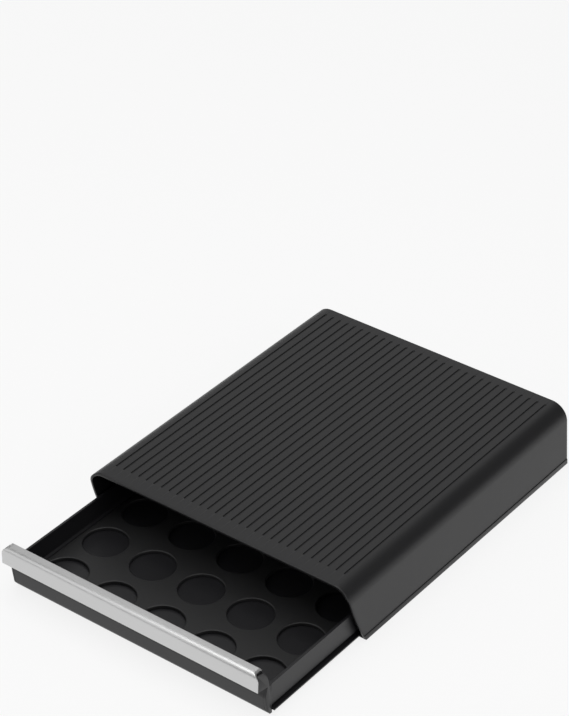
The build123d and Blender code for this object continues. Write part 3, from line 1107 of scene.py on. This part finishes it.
    def cap(self) -> Surface:
        """The right end cap: the outer line of face, handle and back, filled in.

        Its upper corner turns about the same centre as the strip's bend, and it reaches from the
        panel to the handle's rounded end.

        Returns:
            The closed surface.
        """
        top = self.cap_high.z - self.cap_gap
        upper = [(self.core_front, self.strip_low.z), (self.core_front, top), (self.hook_back, top)]
        turn = self.bend - self.trim_thickness - (self.core_top - top)
        upper_line = rounded(upper, (0.0, turn, 0.0), closed=False)
        back = self.back_line()
        back = back[back[:, 1] < top]
        rim = [(self.tray_low.y, self.tray_high.z), (self.tray_low.y, self.foot[1])]
        section = np.vstack([self.face_line(), upper_line[:-1], back, rim])
        return swept(section, Sweep.ALONG_X, self.cap_low.x, self.half_length, self.soft)

    def strip(self) -> Surface:
        """The silver strip bent over the handle.

        Its middle line goes up the front, round the bend, back along the top and down the lip. The
        section of even thickness about that line is carried from end to end of the handle.

        Returns:
            The closed surface.
        """
        low, high = self.strip_low, self.strip_high
        half = self.trim_thickness / 2
        front, top, rear = low.y + half, high.z - half, high.y - half
        lip = high.z - self.trim_lip + half
        corners = [(front, low.z + half), (front, top), (rear, top), (rear, lip)]
        radii = (0.0, self.bend - half, self.end_bend, 0.0)
        path = rounded(corners, radii, self.turn_steps, closed=False)
        rise = np.linspace(path[0], path[1], 2 * self.turn_steps)
        section = ribbon(np.vstack([rise, path[2:]]), self.trim_thickness)
        return self.carried(section, self.half_length, self.soft)

    def build(self) -> list[Piece]:
        """Builds and dresses the front's pieces.

        Returns:
            The new objects.
        """
        surfaces = {
            "front_fascia": (self.panel(), Slot.DRAWER, "front_panel"),
            "right_cheek": (self.cap(), Slot.DRAWER, "right_end_cap"),
            "left_cheek": (self.cap().mirrored(), Slot.DRAWER, "left_end_cap"),
            "handle_strip": (self.strip(), Slot.SILVER, "handle_trim"),
        }
        return [
            placed(name, surface, Body.DRAWER, slot, node)
            for name, (surface, slot, node) in surfaces.items()
        ]


@dataclass
class Screws:
    """Round-headed screws with a cross recess, in place of the plain ones. Heads face +Y."""

    head: float = 3.4 * MM
    head_height: float = 1.6 * MM
    flat_share: float = 0.62
    flat_steps: int = 14
    dome_share: float = 0.55
    dome_steps: int = 6
    shank: float = 1.3 * MM
    tip_share: float = 0.4
    tip_length: float = 0.8 * MM
    facets: int = 64
    recess: float = 0.9 * MM
    recess_reach: float = 1.9 * MM
    recess_half: float = 0.42 * MM
    recess_ease: float = 0.08 * MM
    recess_slope: float = 0.5 * MM
    recess_rim: float = 0.1 * MM

    def profile(self, length: float) -> tuple[Array, Array]:
        """A screw's outline: distance from its axis, and depth below the head's top.

        The head is flat in the middle and falls to its rim on a quarter of an ellipse, then steps
        in to the shank, which ends in a short cone.

        Args:
            length: from the head's top to the shank's tip.

        Returns:
            Radii and depths.
        """
        turn = np.linspace(0, math.pi / 2, self.dome_steps + 1)[1:]
        flat = np.linspace(0, self.flat_share, self.flat_steps + 1)[1:] * self.head
        fall = self.head * (self.flat_share + (1 - self.flat_share) * np.sin(turn))
        drop = self.dome_share * self.head_height * (1 - np.cos(turn))
        shank = [self.head, self.shank, self.shank, self.tip_share * self.shank]
        steps = [self.head_height, self.head_height, length - self.tip_length, length]
        radii = np.concatenate([flat, fall, shank])
        return radii, np.concatenate([np.zeros(len(flat)), drop, steps])

    def one(self, place: Array, length: float) -> Surface:
        """One screw: the outline turned about its axis, with the cross pressed into the head.

        The recess has its full depth within half a bar's width of either bar's middle line. It
        eases away at the bars' edges, and slopes up to the bars' ends.

        Args:
            place: the middle of the head's top.
            length: from the head's top to the tip.

        Returns:
            The closed surface.
        """
        radii, depths = self.profile(length)
        angle = np.linspace(0, 2 * math.pi, self.facets + 1)[:-1]
        x = radii[:, None] * np.cos(angle)[None]
        z = radii[:, None] * np.sin(angle)[None]
        bar = np.minimum(np.abs(x), np.abs(z))
        inside = (self.recess_half + self.recess_ease - bar) / (2 * self.recess_ease)
        within = (self.recess_reach - np.hypot(x, z)) / self.recess_slope
        upper = (depths < self.recess_rim)[:, None]
        dip = self.recess * np.clip(inside, 0, 1) * np.clip(within, 0, 1) * upper
        points = place + np.stack([x, -depths[:, None] - dip, z], axis=-1).reshape(-1, 3)
        rows, columns = x.shape
        middle = place - [[0, self.recess, 0], [0, length, 0]]
        faces = grid_faces(rows, columns, round_columns=True)
        ring = np.arange(columns)
        first = np.stack([np.full(columns, rows * columns), np.roll(ring, -1), ring], axis=1)
        last_ring = (rows - 1) * columns + ring
        tip = np.full(columns, rows * columns + 1)
        last = np.stack([tip, last_ring, np.roll(last_ring, -1)], axis=1)
        return Surface(np.vstack([points, middle]), faces + first.tolist() + last.tolist())

    def row(self, node: str, count: int) -> Surface:
        """A row of screws spread evenly across a CAD node's box.

        Args:
            node: the node that the screws stand for.
            count: how many there are.

        Returns:
            The screws as one surface.
        """
        low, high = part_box(node)
        z = (low.z + high.z) / 2
        places = np.linspace(low.x + self.head, high.x - self.head, count)
        screws = [self.one(np.array([x, high.y, z]), high.y - low.y) for x in places]
        return reduce(Surface.joined, screws)

    def build(self) -> list[Piece]:
        """Builds both rows of screws.

        Returns:
            The new objects.
        """
        rows = {
            "rear_screws": (Body.CASING, "back_panel_screws", 2),
            "fascia_screws": (Body.DRAWER, "front_panel_screws", 4),
        }
        return [
            placed(name, self.row(node, count), body, Slot.STEEL, node)
            for name, (body, node, count) in rows.items()
        ]


# The studio


@dataclass(frozen=True)
class Lamp:
    """A square soft lamp: where it stands in degrees and metres, its side and its power."""

    name: str
    azimuth: float
    elevation: float
    away: float
    size: float
    watts: float


LAMPS = (
    Lamp("overhead", azimuth=0.0, elevation=84.0, away=2.2, size=1.8, watts=25.0),
    Lamp("back_left", azimuth=214.0, elevation=34.0, away=3.0, size=2.8, watts=12.5),
    Lamp("right_side", azimuth=75.0, elevation=30.0, away=2.6, size=1.6, watts=15.0),
    Lamp("front_left", azimuth=-40.0, elevation=35.0, away=2.8, size=2.6, watts=18.5),
)
WHITE = (1.0, 1.0, 1.0, 1.0)


@dataclass
class Studio:
    """A plain pale floor, soft lamps and the camera at the photograph's viewing angle."""

    target: Triple = (-0.15915, 0.19743, 0.001)
    distance: float = 2.37486
    azimuth: float = 37.41
    elevation: float = 33.86
    focal_px: float = 2547.39
    picture_height: int = 716
    sensor_mm: float = 36.0
    clip_end: float = 60.0
    lit_point: Triple = (0.0, 0.05, 0.0)
    floor_reach: float = 8.0
    floor_dark: Triple = (0.80, 0.80, 0.80)
    floor_light: Triple = (0.84, 0.84, 0.84)
    floor_roughness: float = 0.9
    floor_specular: float = 0.1
    glow_share: float = 0.84
    ambient: float = 0.16

    def direction(self, azimuth: float, elevation: float) -> Vector:
        """The unit vector from the object towards an azimuth and an elevation in degrees."""
        a, e = math.radians(azimuth), math.radians(elevation)
        return Vector((math.sin(a) * math.cos(e), -math.cos(a) * math.cos(e), math.sin(e)))

    def camera(self) -> None:
        """Adds the camera, with the fitted focal length."""
        lens = bpy.data.cameras.new("view")
        lens.sensor_width = self.sensor_mm
        lens.lens = self.focal_px / self.picture_height * lens.sensor_width
        lens.clip_end = self.clip_end
        eye = bpy.data.objects.new("view", lens)
        back = self.direction(self.azimuth, self.elevation)
        eye.location = Vector(self.target) + back * self.distance
        eye.rotation_euler = back.to_track_quat("Z", "Y").to_euler()
        bpy.context.scene.collection.objects.link(eye)
        bpy.context.scene.camera = eye

    def lamp(self, lamp: Lamp) -> None:
        """Adds a lamp that faces the object.

        Args:
            lamp: where it stands, its side and its power.
        """
        light = bpy.data.lights.new(lamp.name, "AREA")
        light.size = lamp.size
        light.energy = lamp.watts
        stand = bpy.data.objects.new(lamp.name, light)
        way = self.direction(lamp.azimuth, lamp.elevation)
        stand.location = Vector(self.lit_point) + way * lamp.away
        stand.rotation_euler = way.to_track_quat("Z", "Y").to_euler()
        bpy.context.scene.collection.objects.link(stand)

    def seen(self, nodes: Nodes) -> Socket:
        """1 for rays from the camera or from a glossy or clear surface, else 0.

        Args:
            nodes: the tree that the nodes go into.

        Returns:
            The value's socket.
        """
        path = nodes.add("LightPath").outputs
        seen = path["Is Camera Ray"]
        for kind in ("Is Glossy Ray", "Is Transmission Ray"):
            either = nodes.add("Math", Value=seen)
            either.operation = "MAXIMUM"
            nodes.tree.links.new(path[kind], either.inputs[1])
            seen = either.outputs[0]
        return seen

    def floor(self) -> None:
        """Adds the floor: a wide pale sheet that the camera sees nearly white, with soft shadows."""
        reach = self.floor_reach
        mesh = bpy.data.meshes.new("floor")
        corners = [(-reach, -reach, 0), (reach, -reach, 0), (reach, reach, 0), (-reach, reach, 0)]
        mesh.from_pydata(corners, [], [(0, 1, 2, 3)])
        nodes = Nodes(bpy.data.materials.new("pale_floor"))
        place = nodes.add("TexCoord").outputs["Object"]
        cloud = nodes.noise(place, 3.0, detail=2.0)
        paint = nodes.tint(cloud, self.floor_dark, self.floor_light)
        matte = nodes.add(
            "BsdfPrincipled",
            Base_Color=paint,
            Roughness=self.floor_roughness,
            Specular_IOR_Level=self.floor_specular,
        )
        glow = nodes.add("Emission", Color=WHITE, Strength=1.0)
        share = nodes.ramp(self.seen(nodes), 0.0, self.glow_share)
        mixed = nodes.mixed(share, matte.outputs["BSDF"], glow.outputs["Emission"])
        nodes.add("OutputMaterial", Surface=mixed)
        mesh.materials.append(nodes.block)
        sheet = bpy.data.objects.new("floor", mesh)
        bpy.context.scene.collection.objects.link(sheet)
        sheet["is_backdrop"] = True

    def sky(self) -> None:
        """Sets the world: white where the camera sees it, and an even soft light elsewhere."""
        world = bpy.data.worlds.new("studio")
        bpy.context.scene.world = world
        nodes = Nodes(world)
        share = nodes.add("LightPath").outputs["Is Camera Ray"]
        soft = nodes.add("Background", Color=WHITE, Strength=self.ambient).outputs[0]
        white = nodes.add("Background", Color=WHITE).outputs[0]
        nodes.add("OutputWorld", Surface=nodes.mixed(share, soft, white))

    def build(self) -> None:
        """Sets up the floor, the light and the camera."""
        self.floor()
        self.sky()
        for lamp in LAMPS:
            self.lamp(lamp)
        self.camera()
        bpy.context.scene.view_settings.view_transform = "Standard"


def dress_nodes(nodes: dict[str, Piece], slots: dict[str, str]) -> None:
    """Gives every CAD node the finish of its slot, the replaced ones too.

    Args:
        nodes: the CAD nodes by name.
        slots: the material slot that the record gives each.
    """
    for node in nodes.values():
        node.data.materials.clear()
        node.data.materials.append(FINISHES[Slot(slots[node.name])].material())


def note_size(stage: str, sizes: dict[str, list[list[float]]]) -> None:
    """Keeps the whole object's box under a name.

    Args:
        stage: the name.
        sizes: the boxes so far, which gets one more.
    """
    low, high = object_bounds()
    sizes[stage] = [list(low), list(high)]


def main() -> None:
    """Loads the frame, and builds the casing, the drawer, the screws and the studio in order."""
    logging.basicConfig(level=logging.INFO, format="%(name)s: %(message)s")
    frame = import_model()
    sizes: dict[str, list[list[float]]] = {}
    note_size("cad", sizes)
    slots = {part["node"]: part["material_slot"] for part in frame["record"]["subparts"]}
    dress_nodes(frame["nodes"], slots)
    for assembly in (Casing(frame["nodes"]), Drawer(frame["nodes"]), Front(), Screws()):
        for piece in assembly.build():
            faces = len(piece.data.polygons)
            LOG.info("%s: %s, %d faces", type(assembly).__name__, piece.name, faces)
    Studio().build()
    note_size("visual", sizes)


if __name__ == "__main__":
    main()
